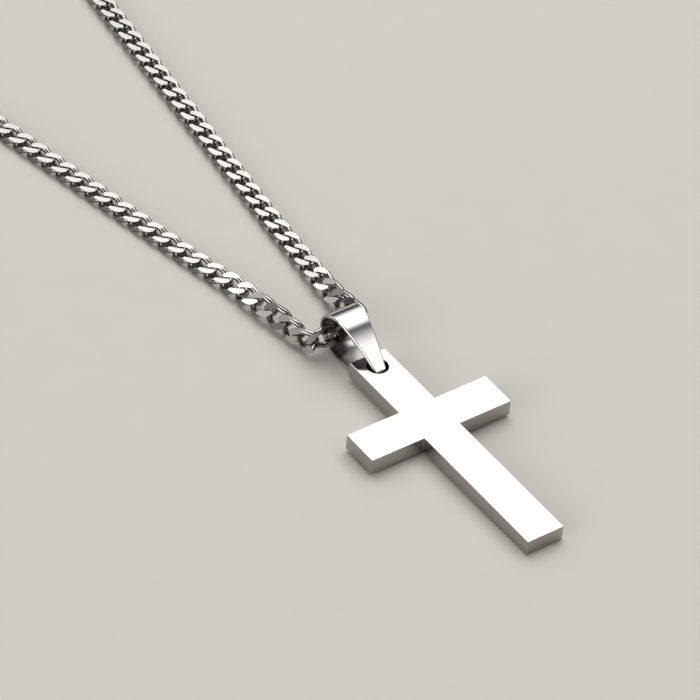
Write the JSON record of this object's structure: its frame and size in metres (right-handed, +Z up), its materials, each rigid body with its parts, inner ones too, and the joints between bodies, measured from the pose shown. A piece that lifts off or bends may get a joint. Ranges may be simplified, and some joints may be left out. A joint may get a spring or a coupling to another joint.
{
  "type": "cross pendant necklace",
  "caption": "Plain flat cross hung by a folded strip bail on a flat curb chain necklace with a clasp, lying as a closed loop.",
  "frame": {"origin": "middle of the footprint of the lying necklace, on the surface it lies on", "axes": "+Z up from the surface, +Y from the cross's lower end towards the clasp, +X along the crossbar to its right end as seen from above"},
  "size_m": [0.065, 0.2498, 0.007],
  "materials": {
    "polished_plate": "mirror-polished stainless steel plate",
    "polished_strip": "polished stainless steel strip",
    "chain_wire": "polished stainless steel wire with ground flats",
    "polished_fittings": "polished stainless steel"
  },
  "bodies": {
    "root": {"cross": "polished_plate", "bail": "polished_strip", "chain_right": "chain_wire", "chain_left": "chain_wire", "ring_right": "polished_fittings", "ring_left": "polished_fittings", "clasp": "polished_fittings"}
  },
  "joints": []
}
